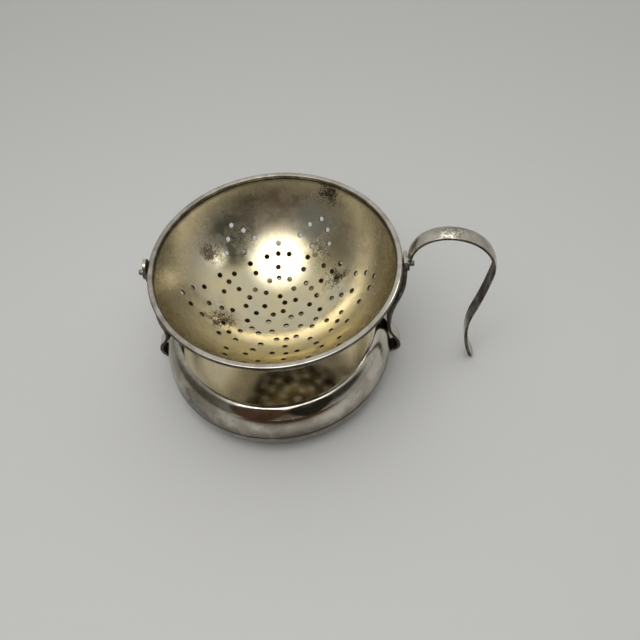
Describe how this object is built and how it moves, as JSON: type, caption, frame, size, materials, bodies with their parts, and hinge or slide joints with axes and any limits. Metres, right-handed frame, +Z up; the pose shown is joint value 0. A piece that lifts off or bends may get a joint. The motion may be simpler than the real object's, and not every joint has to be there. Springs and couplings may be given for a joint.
{
  "type": "swivelling tea strainer with drip bowl",
  "caption": "Small metal tea strainer: a pierced cup swivels on pins between two arms of a squat drip bowl that catches drips, with a crook handle rising from one arm.",
  "frame": {"origin": "centre of the drip bowl's flat base, on the table", "axes": "+Z up; +X along the pivot pins towards the handle; +Y to the back, away from the side it is usually seen from"},
  "size_m": [0.0956, 0.066, 0.0541],
  "materials": {
    "silver_plate": "silver-plated, polished, lightly scratched and tarnished",
    "silver_plate_dark": "silver-plated, dull, tarnished",
    "gilt_plate": "worn gold wash inside, silver plate outside"
  },
  "bodies": {
    "stand": {"drip_dish": "gilt_plate", "shoulder_shell": "silver_plate", "arm_right": "silver_plate", "arm_left": "silver_plate", "handle": "silver_plate"},
    "strainer": {"strainer_bowl": "gilt_plate", "rim_ring": "silver_plate", "pivot_collar_right": "silver_plate_dark", "pivot_collar_left": "silver_plate_dark", "pivot_pin_right": "silver_plate_dark", "pivot_pin_left": "silver_plate_dark"}
  },
  "joints": [
    {"name": "strainer_swivel", "type": "hinge", "parent": "stand", "child": "strainer", "pos_m": [0.0023, 0, 0.0418], "axis": [1, 0, 0], "continuous": true}
  ]
}
